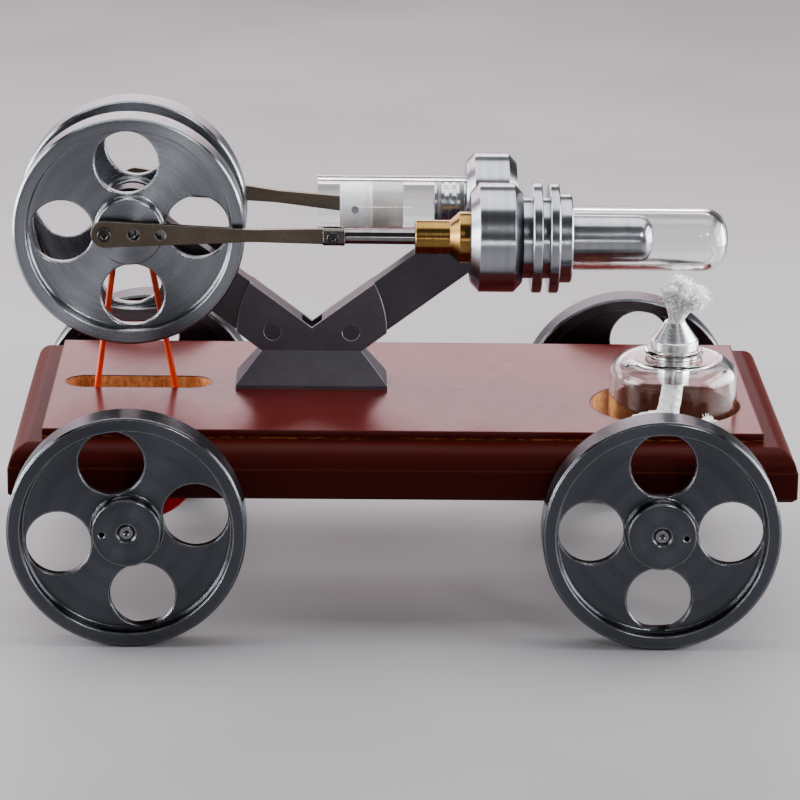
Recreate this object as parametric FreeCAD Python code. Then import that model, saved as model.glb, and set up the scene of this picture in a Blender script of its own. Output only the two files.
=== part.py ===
import FreeCAD, Part
import math
import os
from FreeCAD import Vector

# Stirling engine car: a turned aluminium hot-air engine on a lacquered board with four road wheels.
# Frame: X runs along the car, from the flywheels to the spirit lamp. Y runs across it, away from the
# displacer side. Z is up. The origin is on the floor under the middle of the car. Millimetres.

# ---- driving dimensions -------------------------------------------------------------------------
# Road wheels and flywheels, all one turned part.
wheel_radius = 30.0
wheel_width = 9.3
rim_inner_radius = 26.5
web_thickness = 2.5
hub_radius = 8.7
web_hole_radius = 8.2
web_hole_circle = 17.6
pin_hole_radius = 0.8
crank_throw = 6.15
track_half = 64.1
# How far round the web holes and the pin hole are, in degrees from +X towards +Z.
front_left_turns = (12.4, 184.0)
rear_left_turns = (0.0, 140.0)
front_right_turns = (0.0, -3.6)
rear_right_turns = (-11.0, 60.0)
front_flywheel_turns = (2.4, 180.0)
rear_flywheel_turns = (-2.7, 90.0)

# Axles.
drive_axle_x = -68.9
idler_axle_x = 65.2
axle_radius = 2.0
axle_spacer_radius = 2.65
shaft_inset = 0.4

# Board.
board_x = 0.5
board_length = 200.0
board_width = 100.0
board_bottom = 34.5
board_top = 50.5
deck_inset = 8.2
deck_step = 2.5
ledge_width = 3.3
ovolo_width = 4.6
ovolo_height = 5.5
board_under_chamfer = 1.2
slot_length = 38.5
slot_width = 11.0
slot_y = 1.5
lamp_well_x = 69.4
lamp_well_radius = 19.5
lamp_well_floor = 40.5

# Engine layout: crank, the two cylinder axes and the head, all at one height.
crank_x = -70.5
crank_z = 94.7
engine_y = 2.6
cylinder_offset = 17.5
flywheel_gap = 12.4
crank_radius = 1.5
head_x = 24.2
rod_length = 58.85

# Stand.
arm_thickness = 6.0
arm_width = 12.5
arm_angle = 36.8
arm_drop = 0.7
arm_end_gap = 2.6
crank_eye_radius = 8.8
head_eye_radius = 8.0
block_thickness = 8.0
foot_length = 40.0
foot_depth = 15.0
foot_lip = 1.1
stand_screw_offset = 10.0
stand_screw_radius = 1.5
stand_screw_head = 2.9
stand_screw_seat = 2.2
stand_screw_top = 57.0
neck_length = 26.4
neck_z = 60.1
wing_low_x = 19.8
wing_low_z = 65.1
wing_top_x = 16.3
wing_bulge = 0.8
arm_screw_radius = 1.2
arm_screw_head = 2.3
arm_screw_head_height = 0.8
arm_screw_x = 10.3
arm_screw_z = 65.3

# Belt drive.
belt_y = -2.0
belt_radius = 0.8
crank_pulley_pitch = 3.1
axle_pulley_pitch = 13.4
crank_pulley_flange = 4.6
axle_pulley_flange = 16.4
crank_pulley_width = 2.7
axle_pulley_width = 3.0
belt_clearance = 0.1
pulley_hub_radius = 4.2
pulley_hub_end = 4.0
pulley_screw_radius = 1.25
pulley_screw_inset = 0.4

# Ball bearings.
bearing_outer_radius = 4.0
bearing_width = 3.0
bearing_ring = 0.75
bearing_gap = 0.15
shield_thickness = 0.4
ball_clearance = 0.04
block_y = 44.5
block_depth = 8.0
block_half_length = 8.0
block_bottom = 25.0
block_screw_offset = 5.9
block_screw_radius = 1.0
block_screw_depth = 7.0

# Cylinder head and displacer side.
cap_radius = 14.1
cap_length = 13.4
cap_chamfer_x = 2.2
cap_chamfer_r = 2.4
passage_radius = 2.4
passage_wall = 0.9
passage_gap = 0.4
chamber_radius = 7.2
bush_thread_radius = 5.0
bush_thread_length = 4.0
bush_nose_x = 3.3
bush_nose_radius = 4.4
bush_cone_x = 12.3
bush_flange_x = 14.7
bush_flange_radius = 6.6
spigot_radius = 10.0
spigot_from_middle = 3.0
glass_seat_depth = 2.0
neck_radius = 10.5
neck_gap = 2.3
fin_radius = 14.2
fin_width = 2.6
fin_gap = 1.8
collar_radius = 11.5
collar_length = 3.35
seal_x = 34.5
seal_radius = 0.6
seal_centre_radius = 8.85
seal_room = 0.05
hot_tube_radius = 8.2
hot_tube_wall = 1.2
hot_tube_end = 83.9
hot_tube_corner = 6.4
displacer_radius = 6.0
displacer_end = 64.5
displacer_length = 35.0
displacer_wall = 0.6
displacer_corner = 3.6
displacer_plug_length = 4.0
displacer_rod_radius = 2.0
sliding_clearance = 0.05
clevis_radius = 2.5
clevis_half = 2.1
clevis_front = 2.6
clevis_back = 3.0
clevis_wall = 0.7
clevis_slot_gap = 0.15
clevis_pin_radius = 0.9
clevis_head_radius = 1.5
clevis_head_height = 0.8
clevis_nut_radius = 1.6
clevis_nut_height = 0.9

# Power side.
power_tube_radius = 8.0
power_bore_radius = 6.2
power_tube_start = -21.9
power_piston_radius = 6.12
power_piston_start = -16.0
power_piston_length = 16.8
piston_skirt_inner = 4.6
piston_crown = 4.0
piston_groove_at = 0.43
piston_groove = 0.3
wrist_pin_radius = 1.0
plug_start = 9.1
plug_spigot_radius = 6.0
plug_spigot_length = 4.0
plug_bore_radius = 1.8
plug_groove_pitch = 2.0
plug_groove_width = 1.2
plug_groove_floor = 4.95
rear_chamber_radius = 4.0
rear_chamber_wall = 4.0

# Connecting rods.
rod_thickness = 1.6
rod_big_end = 3.45
rod_small_end = 2.0
rod_waist = 1.6
rod_waist_at = 38.0
rod_taper_end = 3.0
rod_hole_places = (7.6, 14.5)
rod_hole_radii = (1.55, 1.4)
crank_screw_radius = 1.2
crank_screw_head = 1.7
crank_screw_head_height = 1.2
crank_screw_socket = 0.95
crank_pin_collar_radius = 1.9
crank_pin_collar = 0.9
crank_pin_depth = 8.0

# Spirit lamp.
lamp_x = 71.2
lamp_y = -15.5
bottle_radius = 16.7
bottle_wall = 1.3
bottle_lift = 0.1
bottle_neck_radius = 7.1
bottle_neck_bore = 5.2
bottle_shoulder = 58.2
bottle_neck_foot = 63.7
bottle_foot_corner = 2.2
bottle_bead = 0.8
bottle_top = 65.6
holder_sleeve_end = 57.0
holder_sleeve_radius = 4.2
holder_band_radius = 6.2
holder_band_height = 2.7
holder_mouth = 72.9
holder_mouth_radius = 2.1
wick_radius = 3.2
wick_throat_radius = 2.0
wick_loop = 9.6
wick_loop_sweep = 200
wick_top = 84.6

# ---- derived places -----------------------------------------------------------------------------
axle_z = wheel_radius
front_y = engine_y - cylinder_offset
rear_y = engine_y + cylinder_offset
front_flywheel_y = engine_y - flywheel_gap / 2 - wheel_width
rear_flywheel_y = engine_y + flywheel_gap / 2
stand_x = (crank_x + head_x) / 2
cap_start = head_x - cap_length / 2
cap_end = head_x + cap_length / 2
cap_chamber_start = cap_start + bush_thread_length
cap_spigot_start = head_x + spigot_from_middle
clevis_x = crank_x - crank_throw + rod_length
wrist_x = crank_x + math.sqrt(rod_length ** 2 - crank_throw ** 2)
arm_slope = math.tan(math.radians(arm_angle))
arm_rise = arm_width / 2 / math.cos(math.radians(arm_angle))
arm_meet_z = crank_z - arm_drop - (stand_x - crank_x) * arm_slope
notch_z = arm_meet_z + arm_rise

X = Vector(1, 0, 0)
Y = Vector(0, 1, 0)
Z = Vector(0, 0, 1)


# ---- building blocks ----------------------------------------------------------------------------
def rod_x(radius, start, end, y, z):
    """A cylinder along X."""
    return Part.makeCylinder(radius, end - start, Vector(start, y, z), X)


def rod_y(radius, start, end, x, z):
    """A cylinder along Y."""
    return Part.makeCylinder(radius, end - start, Vector(x, start, z), Y)


def rod_z(radius, start, end, x, y):
    """A cylinder along Z."""
    return Part.makeCylinder(radius, end - start, Vector(x, y, start), Z)


def box(x0, x1, y0, y1, z0, z1):
    """A box between two corners."""
    return Part.makeBox(x1 - x0, y1 - y0, z1 - z0, Vector(x0, y0, z0))


def tube_x(outer, inner, start, end, y, z):
    """A round tube along X."""
    return rod_x(outer, start, end, y, z).cut(rod_x(inner, start, end, y, z))


def tube_y(outer, inner, start, end, x, z):
    """A round tube along Y."""
    return rod_y(outer, start, end, x, z).cut(rod_y(inner, start, end, x, z))


def turned_x(profile, y, z):
    """Turn a closed list of (x, radius) points about the X direction through (y, z)."""
    points = [Vector(px, y, z + pr) for px, pr in profile]
    face = Part.Face(Part.makePolygon(points + [points[0]]))
    return face.revolve(Vector(0, y, z), X, 360)


def turned_y(profile, x, z):
    """Turn a closed list of (radius, y) points about the Y direction through (x, z)."""
    points = [Vector(x + pr, py, z) for pr, py in profile]
    face = Part.Face(Part.makePolygon(points + [points[0]]))
    return face.revolve(Vector(x, 0, z), Y, 360)


def turned_edges_z(edges, x, y):
    """Turn a closed chain of edges drawn in the XZ plane about the Z direction through (x, y)."""
    face = Part.Face(Part.Wire(edges))
    return face.revolve(Vector(x, y, 0), Z, 360)


def line(a, b):
    """A straight edge."""
    return Part.LineSegment(a, b).toShape()


def arc(a, middle, b):
    """A round edge through three points."""
    return Part.Arc(a, middle, b).toShape()


def joined(shapes):
    """One solid from several that touch or overlap, with the seams between faces removed."""
    return shapes[0].fuse(shapes[1:]).removeSplitter()


def group(shapes):
    """Several separate solids kept together."""
    return Part.makeCompound(shapes)


def save(name, shape):
    """Write one named piece to its own file."""
    if not shape.isValid():
        raise ValueError(name + " is not a valid shape")
    os.makedirs("parts", exist_ok=True)
    shape.exportStep(os.path.join("parts", name + ".step"))
    print(name, "solids", len(shape.Solids), "volume", round(shape.Volume, 2))


# ---- wheels and flywheels -----------------------------------------------------------------------
def wheel(x, z, y, bore, turns):
    """The turned wheel with its near face at y. Turns are the web holes' and the pin hole's."""
    hole_turn, pin_turn = turns
    edge = 0.5
    bevel = 0.3
    recess = (wheel_width - web_thickness) / 2
    half = [
        (bore, edge),
        (bore + edge, 0),
        (hub_radius - edge / 2, 0),
        (hub_radius, edge / 2),
        (hub_radius, recess - edge),
        (hub_radius + edge, recess),
        (rim_inner_radius - edge, recess),
        (rim_inner_radius, recess - edge),
        (rim_inner_radius, edge / 2),
        (rim_inner_radius + edge / 2, 0),
        (wheel_radius - edge, 0),
        (wheel_radius, edge),
    ]
    far = [(r, wheel_width - py) for r, py in reversed(half)]
    body = turned_y([(r, y + py) for r, py in half + far], x, z)
    cutters = []
    for k in range(4):
        turn = math.radians(hole_turn + 90 * k)
        hx = x + web_hole_circle * math.cos(turn)
        hz = z + web_hole_circle * math.sin(turn)
        cutters.append(rod_y(web_hole_radius, y, y + wheel_width, hx, hz))
        near_face = y + recess
        far_face = y + wheel_width - recess
        cutters.append(Part.makeCone(web_hole_radius + bevel, web_hole_radius, bevel,
                                     Vector(hx, near_face, hz), Y))
        cutters.append(Part.makeCone(web_hole_radius, web_hole_radius + bevel, bevel,
                                     Vector(hx, far_face - bevel, hz), Y))
    turn = math.radians(pin_turn)
    px = x + crank_throw * math.cos(turn)
    pz = z + crank_throw * math.sin(turn)
    cutters.append(rod_y(pin_hole_radius, y, y + wheel_width, px, pz))
    return body.cut(cutters)


def axle(x):
    """A road wheel axle with chamfered, centre-drilled ends."""
    end = track_half - shaft_inset
    chamfer = 0.4
    dimple = 0.8
    profile = [
        (0, -end + dimple),
        (dimple, -end),
        (axle_radius - chamfer, -end),
        (axle_radius, -end + chamfer),
        (axle_radius, end - chamfer),
        (axle_radius - chamfer, end),
        (dimple, end),
        (0, end - dimple),
    ]
    return turned_y(profile, x, axle_z)


def axle_spacers(x):
    """The sleeves between each bearing and its wheel."""
    inner = block_y + block_depth / 2
    outer = track_half - wheel_width
    return group([tube_y(axle_spacer_radius, axle_radius, -outer, -inner, x, axle_z),
                  tube_y(axle_spacer_radius, axle_radius, inner, outer, x, axle_z)])


# ---- ball bearings ------------------------------------------------------------------------------
def outer_ring(x, z, y, shaft):
    """A bearing's outer ring and shields, with its near face at y."""
    inner = shaft + bearing_ring + bearing_gap
    race = bearing_outer_radius - bearing_ring
    ring = tube_y(bearing_outer_radius, race, y, y + bearing_width, x, z)
    near = tube_y(race, inner, y, y + shield_thickness, x, z)
    far = tube_y(race, inner, y + bearing_width - shield_thickness, y + bearing_width, x, z)
    return joined([ring, near, far])


def inner_ring(x, z, y, shaft):
    """A bearing's inner ring."""
    return tube_y(shaft + bearing_ring, shaft, y, y + bearing_width, x, z)


def bearing_balls(x, z, y, shaft):
    """A bearing's balls, spaced round the track between its two rings."""
    inner = shaft + bearing_ring
    outer = bearing_outer_radius - bearing_ring
    radius = (outer - inner) / 2 - ball_clearance
    track = (outer + inner) / 2
    count = 7
    balls = []
    for k in range(count):
        turn = 2 * math.pi * k / count
        centre = Vector(x + track * math.cos(turn), y + bearing_width / 2,
                        z + track * math.sin(turn))
        balls.append(Part.makeSphere(radius, centre))
    return balls


def axle_bearing_places():
    """The near faces of an axle's two bearings, which sit flush with their blocks' outer faces."""
    outer = block_y + block_depth / 2
    return [-outer, outer - bearing_width]


def bearing_block(x, side):
    """A block under the board that holds one axle bearing. side is -1 near, +1 far."""
    y = side * block_y
    chamfer = 2.0
    shaft_clearance = 0.7
    outline = [
        Vector(x - block_half_length, y - block_depth / 2, board_bottom),
        Vector(x - block_half_length, y - block_depth / 2, block_bottom + chamfer),
        Vector(x - block_half_length + chamfer, y - block_depth / 2, block_bottom),
        Vector(x + block_half_length - chamfer, y - block_depth / 2, block_bottom),
        Vector(x + block_half_length, y - block_depth / 2, block_bottom + chamfer),
        Vector(x + block_half_length, y - block_depth / 2, board_bottom),
    ]
    block = Part.Face(Part.makePolygon(outline + [outline[0]])).extrude(Y * block_depth)
    block = block.cut(rod_y(axle_radius + shaft_clearance, y - block_depth, y + block_depth,
                            x, axle_z))
    seat = -block_y - block_depth / 2 if side < 0 else block_y + block_depth / 2 - bearing_width
    block = block.cut(rod_y(bearing_outer_radius, seat, seat + bearing_width, x, axle_z))
    for sx in block_screw_places(x):
        block = block.cut(rod_z(block_screw_radius, block_bottom, board_bottom, sx, y))
    return block


def block_screw_places(x):
    """The X of a bearing block's two screws."""
    return [x - block_screw_offset, x + block_screw_offset]


def block_screw(x, y):
    """A pan-head screw up through a bearing block into the board."""
    head_radius = 1.9
    head_height = 1.3
    chamfer = 0.4
    slot_half_width = 0.3
    slot_half_length = 1.2
    slot_depth = 0.6
    head_end = block_bottom - head_height
    head = rod_z(head_radius, head_end, block_bottom, x, y)
    head = head.makeChamfer(chamfer, [head.Edges[2]])
    shank = rod_z(block_screw_radius, block_bottom, board_bottom + block_screw_depth, x, y)
    drive = box(x - slot_half_width, x + slot_half_width, y - slot_half_length,
                y + slot_half_length, head_end, head_end + slot_depth)
    return joined([head, shank]).cut(drive)


# ---- board --------------------------------------------------------------------------------------
def board_profile(half, along):
    """The board's moulded section, from side to side, drawn across the direction 'along'."""
    def place(offset, z):
        if along == "x":
            return Vector(board_x - board_length, offset, z)
        return Vector(board_x + offset, -board_width, z)

    ledge_z = board_top - deck_step
    foot_z = ledge_z - ovolo_height
    turn = 2 * math.atan2(ovolo_width, ovolo_height)
    radius = ovolo_height / math.sin(turn)
    quirk = deck_inset - ledge_width - ovolo_width
    mid_x = half - quirk - radius + radius * math.cos(turn / 2)
    mid_z = foot_z + radius * math.sin(turn / 2)
    edges = []
    right = [
        place(half - board_under_chamfer, board_bottom),
        place(half, board_bottom + board_under_chamfer),
        place(half, foot_z),
        place(half - quirk, foot_z),
    ]
    for a, b in zip(right, right[1:]):
        edges.append(line(a, b))
    shoulder = place(half - quirk - ovolo_width, ledge_z)
    edges.append(arc(right[-1], place(mid_x, mid_z), shoulder))
    top = [shoulder, place(half - deck_inset, ledge_z), place(half - deck_inset, board_top),
           place(deck_inset - half, board_top), place(deck_inset - half, ledge_z),
           place(quirk + ovolo_width - half, ledge_z)]
    for a, b in zip(top, top[1:]):
        edges.append(line(a, b))
    edges.append(arc(top[-1], place(-mid_x, mid_z), place(quirk - half, foot_z)))
    left = [
        place(quirk - half, foot_z),
        place(-half, foot_z),
        place(-half, board_bottom + board_under_chamfer),
        place(board_under_chamfer - half, board_bottom),
        right[0],
    ]
    for a, b in zip(left, left[1:]):
        edges.append(line(a, b))
    return Part.Face(Part.Wire(edges))


def belt_slot():
    """The long hole through the board that the belt and the axle pulley run in."""
    r = slot_width / 2
    reach = slot_length / 2 - r
    x = drive_axle_x
    low = board_bottom - 1
    high = board_top + 1
    middle = box(x - reach, x + reach, slot_y - r, slot_y + r, low, high)
    return joined([middle, rod_z(r, low, high, x - reach, slot_y),
                   rod_z(r, low, high, x + reach, slot_y)])


def stand_screw_places():
    """The X of the two screws that hold the stand."""
    return [stand_x - stand_screw_offset, stand_x + stand_screw_offset]


def base_board():
    """The lacquered board, moulded on all four sides, with its slot, lamp well and screw holes."""
    lengthways = board_profile(board_width / 2, "x").extrude(X * 2 * board_length)
    crossways = board_profile(board_length / 2, "y").extrude(Y * 2 * board_width)
    board = lengthways.common(crossways)
    cutters = [belt_slot()]
    cutters.append(rod_z(lamp_well_radius, lamp_well_floor, board_top + 1, lamp_well_x, lamp_y))
    for sx in stand_screw_places():
        cutters.append(rod_z(stand_screw_radius, board_bottom, board_top, sx, engine_y))
        cutters.append(rod_z(stand_screw_head, board_bottom, board_bottom + stand_screw_seat, sx,
                             engine_y))
    for ax in (drive_axle_x, idler_axle_x):
        for side in (-1, 1):
            for sx in block_screw_places(ax):
                cutters.append(rod_z(block_screw_radius, board_bottom,
                                     board_bottom + block_screw_depth, sx, side * block_y))
    return board.cut(cutters)


def stand_screw(x):
    """A sunk cheese-head screw up through the board into the stand's foot."""
    sink = 0.3
    slot_half_width = 0.4
    slot_half_length = 2.0
    slot_depth = 0.9
    head_end = board_bottom + sink
    seat = board_bottom + stand_screw_seat
    head = rod_z(stand_screw_head, head_end, seat, x, engine_y)
    shank = rod_z(stand_screw_radius, seat, stand_screw_top, x, engine_y)
    drive = box(x - slot_half_width, x + slot_half_width, engine_y - slot_half_length,
                engine_y + slot_half_length, head_end, head_end + slot_depth)
    return joined([head, shank]).cut(drive)


# ---- stand --------------------------------------------------------------------------------------
def below_neck():
    """Everything under the stand's neck, where the arms and their pocket don't reach."""
    y0 = engine_y - block_thickness
    return box(stand_x - foot_length, stand_x + foot_length, y0, y0 + 2 * block_thickness,
               board_bottom, neck_z)


def arm(side, eye_x, eye_radius, bore):
    """One arm of the V. side is -1 for the crank, +1 for the head."""
    y0 = engine_y - arm_thickness / 2
    reach = abs(eye_x - stand_x)
    corners = [
        (arm_end_gap, arm_meet_z + arm_end_gap * arm_slope - arm_rise),
        (reach, arm_meet_z + reach * arm_slope - arm_rise),
        (reach, arm_meet_z + reach * arm_slope + arm_rise),
        (arm_end_gap, arm_meet_z + arm_end_gap * arm_slope + arm_rise),
    ]
    points = [Vector(stand_x + side * px, y0, pz) for px, pz in corners]
    bar = Part.Face(Part.makePolygon(points + [points[0]])).extrude(Y * arm_thickness)
    far_side = box(*sorted([eye_x, eye_x + side * 2 * arm_width]), y0, y0 + arm_thickness,
                   crank_z - 3 * arm_width, crank_z + 3 * arm_width)
    bar = bar.cut([far_side, below_neck()])
    eye = rod_y(eye_radius, y0, y0 + arm_thickness, eye_x, crank_z)
    piece = joined([bar, eye]).cut(rod_y(bore, y0, y0 + arm_thickness, eye_x, crank_z))
    return piece.cut(arm_screw_hole(side, arm_screw_radius))


def arm_screw_hole(side, radius):
    """A hole across the stand for an arm's screw."""
    half = block_thickness / 2
    return rod_y(radius, engine_y - half, engine_y + half, stand_x + side * arm_screw_x,
                 arm_screw_z)


def arm_screw(side):
    """A flush screw across the block and the arm in it."""
    half = block_thickness / 2
    sx = stand_x + side * arm_screw_x
    chamfer = 0.2
    head = rod_y(arm_screw_head, engine_y - half, engine_y - half + arm_screw_head_height, sx,
                 arm_screw_z)
    head = head.makeChamfer(chamfer, [head.Edges[2]])
    return joined([head, arm_screw_hole(side, arm_screw_radius).cut(head)])


def stand_block():
    """The stand: a tapered foot, and a block whose two wings hold the arms between thin cheeks."""
    half = block_thickness / 2
    foot_plate = box(stand_x - foot_length / 2, stand_x + foot_length / 2,
                     engine_y - foot_depth / 2, engine_y + foot_depth / 2,
                     board_top, board_top + foot_lip)

    def rectangle(length, depth, z):
        corners = [Vector(stand_x - length / 2, engine_y - depth / 2, z),
                   Vector(stand_x + length / 2, engine_y - depth / 2, z),
                   Vector(stand_x + length / 2, engine_y + depth / 2, z),
                   Vector(stand_x - length / 2, engine_y + depth / 2, z)]
        return Part.makePolygon(corners + [corners[0]])

    taper = Part.makeLoft([rectangle(foot_length, foot_depth, board_top + foot_lip),
                           rectangle(neck_length, block_thickness, neck_z)], True, True)
    y0 = engine_y - half

    def place(px, pz):
        return Vector(stand_x + px, y0, pz)

    wing_top_z = notch_z + wing_top_x * arm_slope
    mid_x = (wing_low_x + wing_top_x) / 2 + wing_bulge
    mid_z = (wing_low_z + wing_top_z) / 2 + wing_bulge / 3
    edges = [
        line(place(-neck_length / 2, neck_z), place(neck_length / 2, neck_z)),
        line(place(neck_length / 2, neck_z), place(wing_low_x, wing_low_z)),
        arc(place(wing_low_x, wing_low_z), place(mid_x, mid_z), place(wing_top_x, wing_top_z)),
        line(place(wing_top_x, wing_top_z), place(0, notch_z)),
        line(place(0, notch_z), place(-wing_top_x, wing_top_z)),
        arc(place(-wing_top_x, wing_top_z), place(-mid_x, mid_z), place(-wing_low_x, wing_low_z)),
        line(place(-wing_low_x, wing_low_z), place(-neck_length / 2, neck_z)),
    ]
    block = Part.Face(Part.Wire(edges)).extrude(Y * block_thickness)
    whole = joined([foot_plate, taper, block])
    pocket_y = engine_y - arm_thickness / 2
    pocket = []
    for side in (-1, 1):
        corners = [
            (0, arm_meet_z - arm_rise),
            (2 * wing_low_x, arm_meet_z + 2 * wing_low_x * arm_slope - arm_rise),
            (2 * wing_low_x, arm_meet_z + 2 * wing_low_x * arm_slope + arm_rise),
            (0, arm_meet_z + arm_rise),
        ]
        points = [Vector(stand_x + side * px, pocket_y, pz) for px, pz in corners]
        face = Part.Face(Part.makePolygon(points + [points[0]]))
        pocket.append(face.extrude(Y * arm_thickness).cut(below_neck()))
    whole = whole.cut(pocket)
    cutters = []
    for sx in stand_screw_places():
        cutters.append(rod_z(stand_screw_radius, board_top, stand_screw_top, sx, engine_y))
    for side in (-1, 1):
        cutters.append(arm_screw_hole(side, arm_screw_radius))
        cutters.append(rod_y(arm_screw_head, y0, y0 + arm_screw_head_height,
                             stand_x + side * arm_screw_x, arm_screw_z))
    return whole.cut(cutters)


# ---- belt drive ---------------------------------------------------------------------------------
def grooved_disc(x, z, flange, pitch, width):
    """A disc with a square-bottomed groove that leaves the round belt a little room."""
    groove = belt_radius + belt_clearance
    half = width / 2
    bevel = 0.2
    profile = [
        (0, belt_y - half),
        (flange - bevel, belt_y - half),
        (flange, belt_y - half + bevel),
        (flange, belt_y - groove),
        (pitch - groove, belt_y - groove),
        (pitch - groove, belt_y + groove),
        (flange, belt_y + groove),
        (flange, belt_y + half - bevel),
        (flange - bevel, belt_y + half),
        (0, belt_y + half),
    ]
    return turned_y(profile, x, z)


def crank_pulley():
    """The small pulley between the front flywheel and the crank arm."""
    hub = rod_y(crank_radius + bearing_ring, front_flywheel_y + wheel_width,
                engine_y - arm_thickness / 2, crank_x, crank_z)
    disc = grooved_disc(crank_x, crank_z, crank_pulley_flange, crank_pulley_pitch,
                        crank_pulley_width)
    bore = rod_y(crank_radius, -wheel_radius, wheel_radius, crank_x, crank_z)
    return joined([hub, disc]).cut(bore)


def pulley_screw_hole():
    """The grub screw's hole in the axle pulley's hub."""
    y = (belt_y + axle_pulley_width / 2 + pulley_hub_end) / 2
    return rod_z(pulley_screw_radius, axle_z - pulley_hub_radius - 1, axle_z - axle_radius,
                 drive_axle_x, y)


def axle_pulley():
    """The large red pulley on the drive axle, with a hub for its grub screw."""
    hub = rod_y(pulley_hub_radius, belt_y, pulley_hub_end, drive_axle_x, axle_z)
    disc = grooved_disc(drive_axle_x, axle_z, axle_pulley_flange, axle_pulley_pitch,
                        axle_pulley_width)
    bore = rod_y(axle_radius, -wheel_radius, wheel_radius, drive_axle_x, axle_z)
    return joined([hub, disc]).cut([bore, pulley_screw_hole()])


def axle_pulley_screw():
    """The grub screw, a little below the hub's surface."""
    socket_depth = 1.0
    y = (belt_y + axle_pulley_width / 2 + pulley_hub_end) / 2
    end = axle_z - pulley_hub_radius + pulley_screw_inset
    screw = rod_z(pulley_screw_radius, end, axle_z - axle_radius, drive_axle_x, y)
    socket = rod_z(pulley_screw_radius / 2, end, end + socket_depth, drive_axle_x, y)
    return screw.cut([socket, rod_y(axle_radius, -wheel_radius, wheel_radius, drive_axle_x,
                                    axle_z)])


def drive_belt():
    """The round belt: two tangent runs and the two arcs that lie in the pulleys' grooves."""
    small = Vector(crank_x, belt_y, crank_z)
    large = Vector(drive_axle_x, belt_y, axle_z)
    gap = small - large
    lean = math.atan2(gap.x, gap.z)
    spread = math.asin((axle_pulley_pitch - crank_pulley_pitch) / gap.Length)

    def at(centre, radius, turn):
        return centre + Vector(radius * math.sin(turn), 0, radius * math.cos(turn))

    right = lean + math.pi / 2 - spread
    left = lean - math.pi / 2 + spread
    small_right = at(small, crank_pulley_pitch, right)
    small_left = at(small, crank_pulley_pitch, left)
    large_right = at(large, axle_pulley_pitch, right)
    large_left = at(large, axle_pulley_pitch, left)
    small_top = at(small, crank_pulley_pitch, lean)
    large_bottom = at(large, axle_pulley_pitch, lean + math.pi)
    path = Part.Wire([
        arc(small_left, small_top, small_right),
        line(small_right, large_right),
        arc(large_right, large_bottom, large_left),
        line(large_left, small_left),
    ])
    start = small_left
    run = (small_left - large_left).normalize()
    section = Part.Wire([Part.Circle(start, run, belt_radius).toShape()])
    return Part.Solid(path.makePipeShell([section], True, True))


# ---- cylinder head, displacer side --------------------------------------------------------------
def cap_outside(y):
    """The plain outside that both cylinder caps share."""
    return turned_x([
        (cap_start, 0),
        (cap_start, cap_radius - cap_chamfer_r),
        (cap_start + cap_chamfer_x, cap_radius),
        (cap_end - cap_chamfer_x, cap_radius),
        (cap_end, cap_radius - cap_chamfer_r),
        (cap_end, 0),
    ], y, crank_z)


def passage_hole(start, end):
    """The hole across both caps that the transfer tube sits in."""
    return rod_y(passage_radius, start, end, head_x, crank_z)


def front_cylinder_cap():
    """The cap on the displacer side, open right through."""
    cap = cap_outside(front_y)
    return cap.cut([
        rod_x(bush_thread_radius, cap_start, cap_chamber_start, front_y, crank_z),
        rod_x(chamber_radius, cap_chamber_start, cap_spigot_start, front_y, crank_z),
        rod_x(spigot_radius, cap_spigot_start, cap_end, front_y, crank_z),
        passage_hole(front_y, front_y + cap_radius),
    ])


def rear_cylinder_cap():
    """The cap on the power side, closed at the far end."""
    cap = cap_outside(rear_y)
    return cap.cut([
        rod_x(plug_spigot_radius, cap_start, cap_start + plug_spigot_length, rear_y, crank_z),
        rod_x(rear_chamber_radius, cap_start, cap_end - rear_chamber_wall, rear_y, crank_z),
        passage_hole(rear_y - cap_radius, rear_y),
    ])


def transfer_tube():
    """The tube that joins the two caps through the head arm's eye and carries the air across."""
    start = front_y + chamber_radius + passage_gap
    end = rear_y - rear_chamber_radius - passage_gap
    return tube_y(passage_radius, passage_radius - passage_wall, start, end, head_x, crank_z)


def guide_bush():
    """The brass bush that guides the displacer rod."""
    bore = displacer_rod_radius + sliding_clearance
    edge = 0.3
    profile = [
        (bush_nose_x, bore),
        (bush_nose_x, bush_nose_radius - edge),
        (bush_nose_x + edge, bush_nose_radius),
        (bush_cone_x, bush_nose_radius),
        (bush_flange_x, bush_flange_radius),
        (cap_start, bush_flange_radius),
        (cap_start, bush_thread_radius),
        (cap_chamber_start, bush_thread_radius),
        (cap_chamber_start, bore),
    ]
    return turned_x(profile, front_y, crank_z)


def cooling_fins():
    """The finned sleeve that holds the hot tube."""
    first = cap_end + neck_gap
    second = first + fin_width + fin_gap
    end = second + fin_width + collar_length
    glass_seat = cap_spigot_start + glass_seat_depth
    edge = 0.3
    profile = [
        (cap_spigot_start, chamber_radius),
        (cap_spigot_start, spigot_radius),
        (cap_end, spigot_radius),
        (cap_end, neck_radius),
        (first, neck_radius),
        (first, fin_radius - edge),
        (first + edge, fin_radius),
        (first + fin_width - edge, fin_radius),
        (first + fin_width, fin_radius - edge),
        (first + fin_width, neck_radius),
        (second, neck_radius),
        (second, fin_radius - edge),
        (second + edge, fin_radius),
        (second + fin_width - edge, fin_radius),
        (second + fin_width, fin_radius - edge),
        (second + fin_width, collar_radius),
        (end - edge, collar_radius),
        (end, collar_radius - edge),
        (end, hot_tube_radius),
        (glass_seat, hot_tube_radius),
        (glass_seat, chamber_radius),
    ]
    body = turned_x(profile, front_y, crank_z)
    groove = 2 * seal_radius + seal_room
    return body.cut(tube_x(seal_centre_radius + seal_radius + seal_room, hot_tube_radius,
                           seal_x - groove / 2, seal_x + groove / 2, front_y, crank_z))


def ring_x(x, y, centre_radius, radius):
    """A round-section ring about the X direction."""
    return Part.makeTorus(centre_radius, radius, Vector(x, y, crank_z), X)


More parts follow.
